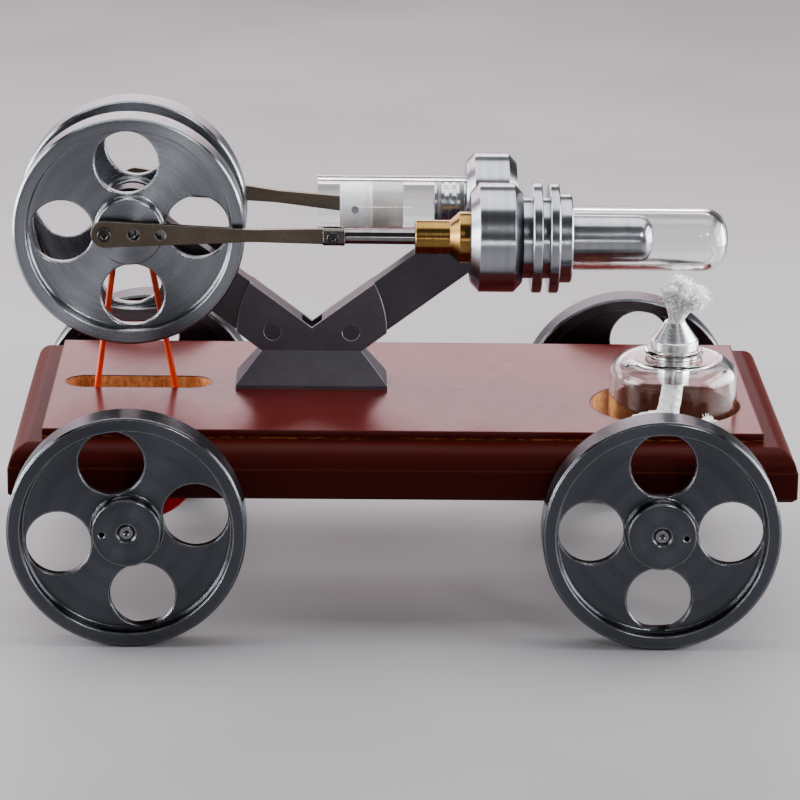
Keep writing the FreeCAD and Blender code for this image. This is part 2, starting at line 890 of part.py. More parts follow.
def closed_tube(start, end, radius, wall, corner, y):
    """A tube along X, open at start and closed by a rounded end."""
    def rounded(r, x0, x1, fillet):
        rod = rod_x(r, x0, x1, y, crank_z)
        tip = [edge for edge in rod.Edges if abs(edge.CenterOfMass.x - x1) < 0.01]
        return rod.makeFillet(fillet, tip)

    outside = rounded(radius, start, end, corner)
    return outside.cut(rounded(radius - wall, start - 1, end - wall, corner - wall))


def hot_tube():
    """The glass tube that the lamp heats."""
    start = cap_spigot_start + glass_seat_depth
    return closed_tube(start, hot_tube_end, hot_tube_radius, hot_tube_wall, hot_tube_corner,
                       front_y)


def displacer_piston():
    """The light hollow displacer."""
    return closed_tube(displacer_end - displacer_length, displacer_end, displacer_radius,
                       displacer_wall, displacer_corner, front_y)


def displacer_plug():
    """The plug in the displacer's open end, which the rod screws into."""
    start = displacer_end - displacer_length
    plug = rod_x(displacer_radius - displacer_wall, start, start + displacer_plug_length,
                 front_y, crank_z)
    return plug.cut(rod_x(displacer_rod_radius, start, start + displacer_plug_length, front_y,
                          crank_z))


def displacer_rod():
    """The displacer's rod, from the clevis to the plug."""
    end = displacer_end - displacer_length + displacer_plug_length
    return rod_x(displacer_rod_radius, clevis_x + clevis_back, end, front_y, crank_z)


def displacer_clevis():
    """The fork on the displacer rod, round with two flats."""
    start = clevis_x - clevis_front
    end = clevis_x + clevis_back
    low = crank_z - clevis_radius
    high = crank_z + clevis_radius
    body = rod_x(clevis_radius, start, end, front_y, crank_z)
    body = body.common(box(start, end, front_y - clevis_half, front_y + clevis_half, low, high))
    slot_half = rod_thickness / 2 + clevis_slot_gap
    slot = box(start, end - clevis_wall, front_y - slot_half, front_y + slot_half, low, high)
    return body.cut([slot, rod_y(clevis_pin_radius, front_y - clevis_radius,
                                 front_y + clevis_radius, clevis_x, crank_z)])


def clevis_pin():
    """The shouldered screw through the clevis, with its nut."""
    thread_past_nut = 0.3
    dimple_radius = 0.7
    dimple_depth = 0.5
    near = front_y - clevis_half
    far = front_y + clevis_half
    head_end = near - clevis_head_height
    shank = rod_y(clevis_pin_radius, near, far + clevis_nut_height + thread_past_nut, clevis_x,
                  crank_z)
    head = rod_y(clevis_head_radius, head_end, near, clevis_x, crank_z)
    head = head.cut(rod_y(dimple_radius, head_end, head_end + dimple_depth, clevis_x, crank_z))
    nut = hexagon_y(clevis_nut_radius, far, far + clevis_nut_height, clevis_x, crank_z)
    return joined([shank, head, nut])


def hexagon_y(radius, start, end, x, z):
    """A hexagonal bar along Y; radius is to its corners."""
    points = []
    for k in range(6):
        turn = math.radians(60 * k)
        points.append(Vector(x + radius * math.cos(turn), start, z + radius * math.sin(turn)))
    return Part.Face(Part.makePolygon(points + [points[0]])).extrude(Y * (end - start))


# ---- power side ---------------------------------------------------------------------------------
def plug_grooves():
    """The middles of the plug's grooves."""
    return [plug_start + plug_groove_width + plug_groove_pitch * k for k in range(4)]


def power_cylinder():
    """The clear tube that the power piston runs in, open towards the crank."""
    return tube_x(power_tube_radius, power_bore_radius, power_tube_start, cap_start, rear_y,
                  crank_z)


def power_cylinder_plug():
    """The grooved plug between the clear tube and its cap, bored for the air."""
    radius = power_bore_radius - sliding_clearance
    body = joined([rod_x(radius, plug_start, cap_start, rear_y, crank_z),
                   rod_x(plug_spigot_radius, cap_start, cap_start + plug_spigot_length, rear_y,
                         crank_z)])
    for gx in plug_grooves():
        body = body.cut(tube_x(power_bore_radius, plug_groove_floor, gx - plug_groove_width / 2,
                               gx + plug_groove_width / 2, rear_y, crank_z))
    return body.cut(rod_x(plug_bore_radius, plug_start, cap_start + plug_spigot_length, rear_y,
                          crank_z))


def plug_seals():
    """Two O-rings in the plug's end grooves."""
    grooves = plug_grooves()
    return group([ring_x(gx, rear_y, plug_groove_floor + seal_radius, seal_radius)
                  for gx in (grooves[0], grooves[-1])])


def power_piston():
    """The power piston: a cup with a shallow groove round its skirt."""
    start = power_piston_start
    end = start + power_piston_length
    body = rod_x(power_piston_radius, start, end, rear_y, crank_z)
    body = body.cut(rod_x(piston_skirt_inner, start, end - piston_crown, rear_y, crank_z))
    groove_x = start + power_piston_length * piston_groove_at
    body = body.cut(tube_x(power_piston_radius, power_piston_radius - piston_groove,
                           groove_x - piston_groove, groove_x + piston_groove, rear_y, crank_z))
    return body.cut(rod_y(wrist_pin_radius, rear_y - power_piston_radius,
                          rear_y + power_piston_radius, wrist_x, crank_z))


def wrist_pin():
    """The pin across the power piston."""
    inset = 0.4
    half = power_piston_radius - inset
    return rod_y(wrist_pin_radius, rear_y - half, rear_y + half, wrist_x, crank_z)


# ---- connecting rods and crank pins -------------------------------------------------------------
def connecting_rod(y, eye_bore):
    """A flat tapered rod laid along +X, with its big end at the origin of X and Z."""
    y0 = y - rod_thickness / 2
    corners = [(0, rod_big_end), (rod_waist_at, rod_waist),
               (rod_length - rod_taper_end, rod_small_end), (rod_length, rod_small_end)]
    points = [Vector(px, y0, pz) for px, pz in corners]
    points += [Vector(px, y0, -pz) for px, pz in reversed(corners)]
    blade = Part.Face(Part.makePolygon(points + [points[0]])).extrude(Y * rod_thickness)
    big = rod_y(rod_big_end, y0, y0 + rod_thickness, 0, 0)
    small = rod_y(rod_small_end, y0, y0 + rod_thickness, rod_length, 0)
    cutters = [rod_y(crank_screw_radius, y0, y0 + rod_thickness, 0, 0),
               rod_y(eye_bore, y0, y0 + rod_thickness, rod_length, 0)]
    for place, radius in zip(rod_hole_places, rod_hole_radii):
        cutters.append(rod_y(radius, y0, y0 + rod_thickness, place, 0))
    return joined([blade, big, small]).cut(cutters)


def displacer_con_rod():
    """The front rod: its crank pin is at the far left of the stroke, so it lies level."""
    rod = connecting_rod(front_y, clevis_pin_radius + sliding_clearance)
    rod.translate(Vector(crank_x - crank_throw, 0, crank_z))
    return rod


def power_con_rod():
    """The rear rod: its crank pin is a quarter turn behind, at the top."""
    rod = connecting_rod(rear_y, wrist_pin_radius + sliding_clearance)
    tilt = math.degrees(math.asin(crank_throw / rod_length))
    rod.rotate(Vector(0, 0, 0), Y, tilt)
    rod.translate(Vector(crank_x, 0, crank_z + crank_throw))
    return rod


def crank_screw(x, z, y, side):
    """The socket screw in a rod's big end, its head on the side away from the flywheel."""
    half = rod_thickness / 2
    socket_depth = 0.8
    face = y + side * half
    far = face + side * crank_screw_head_height
    head = rod_y(crank_screw_head, min(face, far), max(face, far), x, z)
    shank = rod_y(crank_screw_radius, y - half, y + half, x, z)
    floor = far - side * socket_depth
    socket = hexagon_y(crank_screw_socket, min(far, floor), max(far, floor), x, z)
    return joined([head, shank]).cut(socket)


def crank_pin(x, z, y, side):
    """A stud in a flywheel's pin hole with a collar that stops just short of the rod."""
    tip = y + side * crank_pin_collar
    root = y - side * crank_pin_depth
    stud = rod_y(pin_hole_radius, min(y, root), max(y, root), x, z)
    collar = rod_y(crank_pin_collar_radius, min(y, tip), max(y, tip), x, z)
    return joined([stud, collar])


def crankshaft():
    """The shaft through both flywheels, its ends a little below the hubs' faces."""
    return rod_y(crank_radius, front_flywheel_y + shaft_inset,
                 rear_flywheel_y + wheel_width - shaft_inset, crank_x, crank_z)


def crank_spacer():
    """The sleeve between the crank bearings and the rear flywheel."""
    return tube_y(crank_radius + bearing_ring, crank_radius, engine_y + arm_thickness / 2,
                  rear_flywheel_y, crank_x, crank_z)


# ---- spirit lamp --------------------------------------------------------------------------------
def lamp_bottle():
    """The squat glass bottle: straight wall, round shoulder, short neck with a bead."""
    foot = lamp_well_floor + bottle_lift
    shoulder = bottle_neck_foot - bottle_shoulder
    diagonal = math.sqrt(0.5)

    def wall(offset):
        r = bottle_radius - offset
        n = bottle_neck_radius if offset == 0 else bottle_neck_bore
        s = shoulder - offset
        c = bottle_foot_corner - offset
        z0 = foot + offset
        z1 = bottle_shoulder
        z2 = z1 + s

        def at(radius, z):
            return Vector(lamp_x + radius, lamp_y, z)

        flat = r - s
        chain = [
            line(at(0, z0), at(r - c, z0)),
            arc(at(r - c, z0), at(r - c + c * diagonal, z0 + c - c * diagonal), at(r, z0 + c)),
            line(at(r, z0 + c), at(r, z1)),
            arc(at(r, z1), at(flat + s * diagonal, z1 + s * diagonal), at(flat, z2)),
            line(at(flat, z2), at(n, z2)),
            line(at(n, z2), at(n, bottle_top)),
            line(at(n, bottle_top), at(0, bottle_top)),
            line(at(0, bottle_top), at(0, z0)),
        ]
        return turned_edges_z(chain, lamp_x, lamp_y)

    bead_inset = 0.3
    bead = Part.makeTorus(bottle_neck_radius - bead_inset, bottle_bead,
                          Vector(lamp_x, lamp_y, bottle_top - bottle_bead), Z)
    return joined([wall(0), bead]).cut(wall(bottle_wall))


def wick_holder():
    """The aluminium cap on the bottle: a band, a cone and the sleeve that the wick comes up."""
    band_top = bottle_top + holder_band_height
    edge = 0.3
    lip = 0.6
    bore = wick_radius + 0.1
    throat_z = 69.0
    throat_foot_z = 66.8
    profile = [
        (bore, holder_sleeve_end),
        (holder_sleeve_radius, holder_sleeve_end),
        (holder_sleeve_radius, bottle_top),
        (holder_band_radius - edge, bottle_top),
        (holder_band_radius, bottle_top + edge),
        (holder_band_radius, band_top - edge),
        (holder_band_radius - edge, band_top),
        (holder_mouth_radius + lip + 0.4, holder_mouth - lip),
        (holder_mouth_radius + lip, holder_mouth),
        (holder_mouth_radius, holder_mouth),
        (holder_mouth_radius, throat_z),
        (bore, throat_foot_z),
    ]
    points = [Vector(lamp_x + r, lamp_y, z) for r, z in profile]
    face = Part.Face(Part.makePolygon(points + [points[0]]))
    return face.revolve(Vector(lamp_x, lamp_y, 0), Z, 360)


def wick():
    """The cotton wick: a tail in the bottle, the length in the sleeve and the frayed tuft."""
    floor = lamp_well_floor + bottle_lift + bottle_wall
    tail_radius = wick_radius - 0.2
    tail_z = floor + tail_radius + 0.1
    profile = [
        (0, tail_z),
        (wick_radius, tail_z),
        (wick_radius, 66.5),
        (wick_throat_radius, 68.8),
        (wick_throat_radius, 73.2),
        (3.4, 75.0),
        (5.6, 78.0),
        (6.1, 80.5),
        (5.0, 83.0),
        (2.5, wick_top),
        (0, wick_top),
    ]
    points = [Vector(lamp_x + r, lamp_y, z) for r, z in profile]
    stem = Part.Face(Part.makePolygon(points + [points[0]]))
    stem = stem.revolve(Vector(lamp_x, lamp_y, 0), Z, 360)
    link = rod_y(tail_radius, lamp_y - wick_loop, lamp_y, lamp_x, tail_z)
    centre = Vector(lamp_x, lamp_y, tail_z)
    ring = Part.makeTorus(wick_loop, tail_radius, centre, Z, 0, 360, wick_loop_sweep)
    ring.rotate(centre, Z, 270 - wick_loop_sweep / 2)
    return joined([stem, link, ring])


# ---- write every piece --------------------------------------------------------------------------
def main():
    axles = {"drive": drive_axle_x, "idler": idler_axle_x}
    save("base_board", base_board())
    save("stand_block", stand_block())
    save("crank_arm", arm(-1, crank_x, crank_eye_radius, bearing_outer_radius))
    save("cylinder_arm", arm(1, head_x, head_eye_radius, passage_radius))
    save("arm_screws", group([arm_screw(-1), arm_screw(1)]))
    save("stand_screws", group([stand_screw(sx) for sx in stand_screw_places()]))
    crank_bearings = [engine_y - bearing_width, engine_y]
    save("crank_bearing_outer_rings", group([outer_ring(crank_x, crank_z, y, crank_radius)
                                             for y in crank_bearings]))
    save("crank_bearing_inner_rings", group([inner_ring(crank_x, crank_z, y, crank_radius)
                                             for y in crank_bearings]))
    save("crank_bearing_balls", group([ball for y in crank_bearings
                                       for ball in bearing_balls(crank_x, crank_z, y,
                                                                 crank_radius)]))
    save("axle_bearing_blocks", group([bearing_block(x, side) for x in axles.values()
                                       for side in (-1, 1)]))
    save("axle_block_screws", group([block_screw(sx, side * block_y) for x in axles.values()
                                     for side in (-1, 1) for sx in block_screw_places(x)]))
    save("axle_bearing_outer_rings", group([outer_ring(x, axle_z, y, axle_radius)
                                            for x in axles.values()
                                            for y in axle_bearing_places()]))
    save("axle_bearing_balls", group([ball for x in axles.values()
                                      for y in axle_bearing_places()
                                      for ball in bearing_balls(x, axle_z, y, axle_radius)]))
    for name, x in axles.items():
        save(name + "_axle", axle(x))
        save(name + "_axle_spacers", axle_spacers(x))
        save(name + "_axle_bearing_inner_rings", group([inner_ring(x, axle_z, y, axle_radius)
                                                        for y in axle_bearing_places()]))
    near = -track_half
    far = track_half - wheel_width
    save("wheel_front_left", wheel(drive_axle_x, axle_z, near, axle_radius,
                                   front_left_turns))
    save("wheel_rear_left", wheel(drive_axle_x, axle_z, far, axle_radius,
                                  rear_left_turns))
    save("wheel_front_right", wheel(idler_axle_x, axle_z, near, axle_radius,
                                    front_right_turns))
    save("wheel_rear_right", wheel(idler_axle_x, axle_z, far, axle_radius,
                                   rear_right_turns))
    save("flywheel_front", wheel(crank_x, crank_z, front_flywheel_y, crank_radius,
                                 front_flywheel_turns))
    save("flywheel_rear", wheel(crank_x, crank_z, rear_flywheel_y, crank_radius,
                                rear_flywheel_turns))
    save("crankshaft", crankshaft())
    save("crank_spacer", crank_spacer())
    save("crank_pulley", crank_pulley())
    save("axle_pulley", axle_pulley())
    save("axle_pulley_screw", axle_pulley_screw())
    save("drive_belt", drive_belt())
    save("front_crank_pin", crank_pin(crank_x - crank_throw, crank_z, front_flywheel_y, -1))
    save("rear_crank_pin", crank_pin(crank_x, crank_z + crank_throw,
                                     rear_flywheel_y + wheel_width, 1))
    save("displacer_con_rod", displacer_con_rod())
    save("power_con_rod", power_con_rod())
    save("front_crank_screw", crank_screw(crank_x - crank_throw, crank_z, front_y, -1))
    save("rear_crank_screw", crank_screw(crank_x, crank_z + crank_throw, rear_y, 1))
    save("displacer_clevis", displacer_clevis())
    save("clevis_pin", clevis_pin())
    save("displacer_rod", displacer_rod())
    save("displacer_plug", displacer_plug())
    save("displacer_piston", displacer_piston())
    save("guide_bush", guide_bush())
    save("front_cylinder_cap", front_cylinder_cap())
    save("cooling_fins", cooling_fins())
    save("hot_tube", hot_tube())
    save("hot_tube_seal", ring_x(seal_x, front_y, seal_centre_radius, seal_radius))
    save("rear_cylinder_cap", rear_cylinder_cap())
    save("transfer_tube", transfer_tube())
    save("power_cylinder", power_cylinder())
    save("power_cylinder_plug", power_cylinder_plug())
    save("plug_seals", plug_seals())
    save("power_piston", power_piston())
    save("wrist_pin", wrist_pin())
    save("lamp_bottle", lamp_bottle())
    save("wick_holder", wick_holder())
    save("wick", wick())


main()
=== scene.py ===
import math
import random

import bmesh
import bpy
from mathutils import Matrix, Vector, noise


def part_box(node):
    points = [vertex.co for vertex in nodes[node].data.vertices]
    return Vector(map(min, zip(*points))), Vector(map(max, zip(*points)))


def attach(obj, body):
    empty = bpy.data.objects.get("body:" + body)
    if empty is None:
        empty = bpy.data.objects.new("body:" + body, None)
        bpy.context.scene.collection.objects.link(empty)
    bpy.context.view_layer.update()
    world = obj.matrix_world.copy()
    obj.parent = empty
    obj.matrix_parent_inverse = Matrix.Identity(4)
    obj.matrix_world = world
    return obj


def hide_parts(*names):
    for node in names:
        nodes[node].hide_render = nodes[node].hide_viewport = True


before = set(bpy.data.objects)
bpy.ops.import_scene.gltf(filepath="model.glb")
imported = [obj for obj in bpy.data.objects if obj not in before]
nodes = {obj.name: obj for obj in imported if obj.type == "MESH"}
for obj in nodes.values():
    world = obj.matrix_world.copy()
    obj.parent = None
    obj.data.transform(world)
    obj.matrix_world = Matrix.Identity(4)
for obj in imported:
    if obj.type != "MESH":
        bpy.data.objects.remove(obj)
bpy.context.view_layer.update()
MM = 0.001


def middle(name):
    """The middle of a node's box, in millimetres."""
    low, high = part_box(name)
    return [(a + b) / 2 * 1000.0 for a, b in zip(low, high)]


# ---- camera -------------------------------------------------------------------------------------
def add_camera():
    """A low viewpoint on the displacer side, through a long lens."""
    place = (-0.0191, -0.93607, 0.32439)
    yaw = math.radians(-1.19)
    pitch = math.radians(16.54)
    roll = math.radians(0.79)
    focal_length = 165.63
    right = Vector((math.cos(yaw), math.sin(yaw), 0))
    ahead = Vector((-math.sin(yaw) * math.cos(pitch), math.cos(yaw) * math.cos(pitch),
                    -math.sin(pitch)))
    up = right.cross(ahead)
    turned_right = right * math.cos(roll) + up * math.sin(roll)
    turned_up = up * math.cos(roll) - right * math.sin(roll)
    data = bpy.data.cameras.new("camera")
    data.lens = focal_length
    data.sensor_width = 36.0
    data.clip_end = 20.0
    camera = bpy.data.objects.new("camera", data)
    bpy.context.scene.collection.objects.link(camera)
    rotation = Matrix((turned_right, turned_up, -ahead)).transposed().to_4x4()
    camera.matrix_world = Matrix.Translation(place) @ rotation
    bpy.context.scene.camera = camera


# ---- node helpers -------------------------------------------------------------------------------
class Nodes:
    """Short calls for building a material's node tree."""

    def __init__(self, name):
        self.material = bpy.data.materials.new(name)
        self.material.use_nodes = True
        self.tree = self.material.node_tree
        self.tree.nodes.clear()
        self.out = self.tree.nodes.new("ShaderNodeOutputMaterial")

    def new(self, kind, **settings):
        node = self.tree.nodes.new(kind)
        for key, value in settings.items():
            setattr(node, key, value)
        return node

    def link(self, source, target):
        self.tree.links.new(source, target)

    def value(self, socket, value):
        """Link a socket or set a constant."""
        if isinstance(value, bpy.types.NodeSocket):
            self.link(value, socket)
        else:
            socket.default_value = value

    def math(self, operation, a, b=0.0, clamp=False):
        node = self.new("ShaderNodeMath", operation=operation, use_clamp=clamp)
        self.value(node.inputs[0], a)
        self.value(node.inputs[1], b)
        return node.outputs[0]

    def place(self):
        """Position in the shared frame, in millimetres."""
        coords = self.new("ShaderNodeTexCoord")
        scaled = self.new("ShaderNodeVectorMath", operation="SCALE")
        self.link(coords.outputs["Object"], scaled.inputs[0])
        scaled.inputs["Scale"].default_value = 1000.0
        return scaled.outputs[0]

    def split(self, vector):
        node = self.new("ShaderNodeSeparateXYZ")
        self.link(vector, node.inputs[0])
        return node.outputs

    def join(self, x, y, z):
        node = self.new("ShaderNodeCombineXYZ")
        for socket, value in zip(node.inputs, (x, y, z)):
            self.value(socket, value)
        return node.outputs[0]

    def stretched(self, vector, sx, sy, sz):
        node = self.new("ShaderNodeVectorMath", operation="MULTIPLY")
        self.link(vector, node.inputs[0])
        node.inputs[1].default_value = (sx, sy, sz)
        return node.outputs[0]

    def noise(self, vector, scale, detail, roughness, distortion=0.0):
        node = self.new("ShaderNodeTexNoise")
        self.link(vector, node.inputs["Vector"])
        node.inputs["Scale"].default_value = scale
        node.inputs["Detail"].default_value = detail
        node.inputs["Roughness"].default_value = roughness
        node.inputs["Distortion"].default_value = distortion
        return node.outputs["Fac"]

    def ramp(self, factor, stops):
        node = self.new("ShaderNodeValToRGB")
        self.link(factor, node.inputs[0])
        elements = node.color_ramp.elements
        while len(elements) < len(stops):
            elements.new(0.5)
        for element, (position, colour) in zip(elements, stops):
            element.position = position
            element.color = tuple(colour) + (1.0,)
        return node.outputs[0]

    def span(self, factor, low, high, from_low=0.0, from_high=1.0):
        node = self.new("ShaderNodeMapRange")
        self.value(node.inputs["Value"], factor)
        node.inputs["From Min"].default_value = from_low
        node.inputs["From Max"].default_value = from_high
        node.inputs["To Min"].default_value = low
        node.inputs["To Max"].default_value = high
        return node.outputs[0]

    def mix(self, factor, a, b):
        node = self.new("ShaderNodeMix", data_type="RGBA")
        self.value(node.inputs[0], factor)
        for socket, value in ((node.inputs[6], a), (node.inputs[7], b)):
            if isinstance(value, tuple):
                value = value + (1.0,)
            self.value(socket, value)
        return node.outputs[2]

    def bump(self, height, strength, distance, normal=None):
        node = self.new("ShaderNodeBump")
        self.link(height, node.inputs["Height"])
        node.inputs["Strength"].default_value = strength
        node.inputs["Distance"].default_value = distance
        if normal is not None:
            self.link(normal, node.inputs["Normal"])
        return node.outputs[0]

    def soft_edges(self, radius_mm):
        """The rounded-edge normal, and a mask that is 1 along edges."""
        bevel = self.new("ShaderNodeBevel", samples=4)
        bevel.inputs["Radius"].default_value = radius_mm * MM
        geometry = self.new("ShaderNodeNewGeometry")
        dot = self.new("ShaderNodeVectorMath", operation="DOT_PRODUCT")
        self.link(bevel.outputs[0], dot.inputs[0])
        self.link(geometry.outputs["Normal"], dot.inputs[1])
        mask = self.span(dot.outputs["Value"], 1.0, 0.0, 0.80, 0.985)
        return bevel.outputs[0], mask

    def shader(self, **inputs):
        node = self.new("ShaderNodeBsdfPrincipled")
        for key, value in inputs.items():
            socket = node.inputs[key.replace("_", " ")]
            if isinstance(value, tuple) and len(value) == 3 and socket.type == "RGBA":
                value = value + (1.0,)
            self.value(socket, value)
        self.link(node.outputs[0], self.out.inputs[0])
        return node


def axis_radius(n, place, axis, centre):
    """Distance from a line along an axis, in millimetres; centre is its other two coordinates."""
    parts = n.split(place)
    others = {"X": (1, 2), "Y": (0, 2), "Z": (0, 1)}[axis]
    squares = []
    for index, line in zip(others, centre):
        offset = n.math("SUBTRACT", parts[index], line)
        squares.append(n.math("MULTIPLY", offset, offset))
    return n.math("SQRT", n.math("ADD", squares[0], squares[1])), parts


# ---- metals -------------------------------------------------------------------------------------
def turned_metal(name, axis, centre, colour, rough, mark_size, mark_depth, anisotropic,
                 edge_mm):
    """Lathe-turned metal: fine rings about the axis, slight tone bands, and edges painted
    near-white as a painted highlight.
    """
    n = Nodes(name)
    place = n.place()
    radius, parts = axis_radius(n, place, axis, centre)
    along = parts["XYZ".index(axis)]
    track = n.join(radius, along, 0.0)
    fine = n.noise(track, 1.0 / mark_size, 4.0, 0.7)
    broad = n.noise(track, 0.35, 2.0, 0.5)
    cloud = n.noise(place, 0.09, 2.0, 0.5)
    normal, edge = n.soft_edges(edge_mm)
    tone = n.ramp(broad, [(0.3, tuple(c * 0.86 for c in colour)),
                          (0.55, colour),
                          (0.75, tuple(min(1.0, c * 1.08) for c in colour))])
    # Painted highlight: the edges are painted near-white.
    tone = n.mix(n.math("MULTIPLY", edge, 0.95), tone, (0.96, 0.96, 0.97))
    roughness = n.math("ADD", n.span(fine, rough * 0.75, rough * 1.3),
                       n.span(cloud, -0.03, 0.04))
    marks = n.bump(fine, mark_depth, 0.00006, normal)
    tangent = n.new("ShaderNodeTangent", direction_type="RADIAL", axis=axis)
    n.shader(Base_Color=tone, Metallic=1.0, Roughness=roughness, Normal=marks,
             Anisotropic=anisotropic, Anisotropic_Rotation=0.25, Tangent=tangent.outputs[0])
    return n.material


def plain_metal(name, colour, rough, grain, stretch, metallic=1.0, edge_wear_and_highlight=0.5,
                edge_wear_and_highlight_colour=(0.75, 0.75, 0.76), edge_mm=0.25):
    """Rolled or painted metal: a stretched grain, cloudy tone, and lighter edges that are partly
    wear and partly a painted highlight.
    """
    n = Nodes(name)
    place = n.place()
    lines = n.noise(n.stretched(place, *stretch), grain, 4.0, 0.65)
    cloud = n.noise(place, 0.12, 3.0, 0.55)
    normal, edge = n.soft_edges(edge_mm)
    tone = n.ramp(cloud, [(0.3, tuple(c * 0.8 for c in colour)), (0.7, colour)])
    tone = n.mix(n.span(lines, 0.45, 0.0, 0.36, 0.56), tone, tuple(c * 0.55 for c in colour))
    # Lighter edges: partly wear, partly a painted highlight.
    tone = n.mix(n.math("MULTIPLY", edge, edge_wear_and_highlight), tone, edge_wear_and_highlight_colour)
    roughness = n.math("ADD", n.span(lines, rough * 0.8, rough * 1.25),
                       n.span(cloud, -0.04, 0.05))
    n.shader(Base_Color=tone, Metallic=metallic, Roughness=roughness,
             Normal=n.bump(lines, 0.35, 0.00004, normal))
    return n.material


# ---- board --------------------------------------------------------------------------------------
def lacquered_board():
    """Red-brown stained wood under gloss lacquer, raw where the slot and the well are cut."""
    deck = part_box("base_board")[1][2] * 1000.0
    ledge = deck - 2.5
    well_centre, well_radius = (69.4, -15.5), 19.62
    slot_centre, slot_half_length, slot_half_width = (-68.9, 1.5), 19.4, 5.56
    n = Nodes("lacquered_board")
    place = n.place()
    parts = n.split(place)
    warp = n.noise(n.stretched(place, 0.012, 0.09, 0.09), 1.0, 2.0, 0.5)
    bands = n.noise(n.stretched(place, 0.02, 0.42, 0.42), 1.0, 4.0, 0.6, 0.9)
    fibres = n.noise(n.stretched(place, 0.16, 5.0, 5.0), 1.0, 5.0, 0.72)
    pores = n.noise(n.stretched(place, 0.35, 7.5, 7.5), 1.0, 2.0, 0.5)
    figure = n.math("ADD", n.math("MULTIPLY", bands, 0.7), n.math("MULTIPLY", warp, 0.3))
    stain = n.ramp(figure, [(0.25, (0.112, 0.0135, 0.0120)), (0.5, (0.135, 0.0180, 0.0155)),
                            (0.75, (0.158, 0.0240, 0.0195))])
    streak = n.span(fibres, 0.0, 1.0, 0.38, 0.72)
    stain = n.mix(n.math("MULTIPLY", streak, 0.34), stain, (0.062, 0.0075, 0.0060))
    dark_pore = n.span(pores, 0.55, 0.0, 0.30, 0.42)
    stain = n.mix(n.math("MULTIPLY", dark_pore, 0.8, True), stain, (0.036, 0.0045, 0.0036))
    side = n.span(parts[2], 1.0, 0.0, deck - 1.5, deck + 0.1)
    # Painted shade: the board's sides below the deck are painted darker than the top.
    stain = n.mix(n.math("MULTIPLY", side, 0.85), stain, (0.050, 0.0050, 0.0028))
    # The stain has worn thin along the moulded edge.
    normal, edge = n.soft_edges(0.9)
    low = n.span(parts[2], 1.0, 0.0, deck - 4.5, deck - 0.5)
    thin = n.math("MULTIPLY", n.math("MULTIPLY", edge, n.span(fibres, 0.2, 0.9)), low)
    stain = n.mix(n.math("MULTIPLY", thin, 0.6, True), stain, (0.28, 0.070, 0.024))
    # Bare specks along the foot of the deck's step, just above the ledge.
    off_corner = n.math("ABSOLUTE", n.math("SUBTRACT", parts[2], ledge + 0.5))
    flecks = n.noise(n.stretched(place, 0.3, 1.6, 1.6), 1.0, 4.0, 0.7)
    specks = n.span(flecks, 0.0, 1.0, 0.46, 0.60)
    bare = n.math("MULTIPLY", n.span(off_corner, 1.0, 0.0, 0.15, 0.38), specks)
    stain = n.mix(n.math("MULTIPLY", bare, 0.7, True), stain, (0.42, 0.130, 0.038))
    # Raw wood: inside the lamp well and the belt slot.
    well, _ = axis_radius(n, place, "Z", well_centre)
    in_well = n.math("LESS_THAN", well, well_radius)
    slot_x = n.math("ABSOLUTE", n.math("SUBTRACT", parts[0], slot_centre[0]))
    slot_y = n.math("ABSOLUTE", n.math("SUBTRACT", parts[1], slot_centre[1]))
    in_slot = n.math("MULTIPLY", n.math("LESS_THAN", slot_x, slot_half_length),
                     n.math("LESS_THAN", slot_y, slot_half_width))
    below_deck = n.math("LESS_THAN", parts[2], deck - 0.2)
    raw = n.math("MULTIPLY", n.math("MAXIMUM", in_well, in_slot), below_deck)
    chips = n.noise(n.stretched(place, 0.9, 0.9, 0.5), 1.0, 5.0, 0.7)
    raw_tone = n.ramp(chips, [(0.3, (0.34, 0.125, 0.050)), (0.5, (0.66, 0.31, 0.135)),
                              (0.7, (0.82, 0.46, 0.230))])
    # Painted shadow: the well's wood is painted dark except a strip at its left, where light
    # falls.
    well_shadow_start = well_centre[0] - 17.9
    painted_well_shadow = n.math("MULTIPLY", in_well,
                  n.span(parts[0], 0.0, 0.96, well_shadow_start, well_shadow_start + 4.5))
    raw_tone = n.mix(painted_well_shadow, raw_tone, (0.085, 0.022, 0.014))
    colour = n.mix(raw, stain, raw_tone)
    dull = n.math("ADD", n.math("MULTIPLY", raw, 0.45), n.math("MULTIPLY", side, 0.20))
    polish = n.math("ADD", n.span(fibres, 0.24, 0.36), dull, True)
    height = n.math("ADD", n.math("MULTIPLY", fibres, 0.45), n.math("MULTIPLY", pores, 0.55))
    bumped = n.bump(height, 0.22, 0.00008, normal)
    gloss = n.math("MULTIPLY", n.span(raw, 0.4, 0.0), n.span(side, 1.0, 0.08))
    # Open grain breaks the sheen into fine dark streaks.
    open_grain = n.noise(n.stretched(place, 0.22, 1.9, 1.9), 1.0, 3.0, 0.6)
    gloss = n.math("MULTIPLY", gloss, n.span(open_grain, 0.35, 1.0, 0.36, 0.50))
    ripple = n.noise(place, 0.16, 1.0, 0.4)
    coat_normal = n.bump(fibres, 0.05, 0.00006, n.bump(ripple, 0.05, 0.0006, normal))
    n.shader(Base_Color=colour, Roughness=polish, Normal=bumped, Coat_Weight=gloss,
             Coat_Roughness=0.19, Coat_IOR=1.45, Coat_Normal=coat_normal,
             Specular_IOR_Level=0.12)
    return n.material


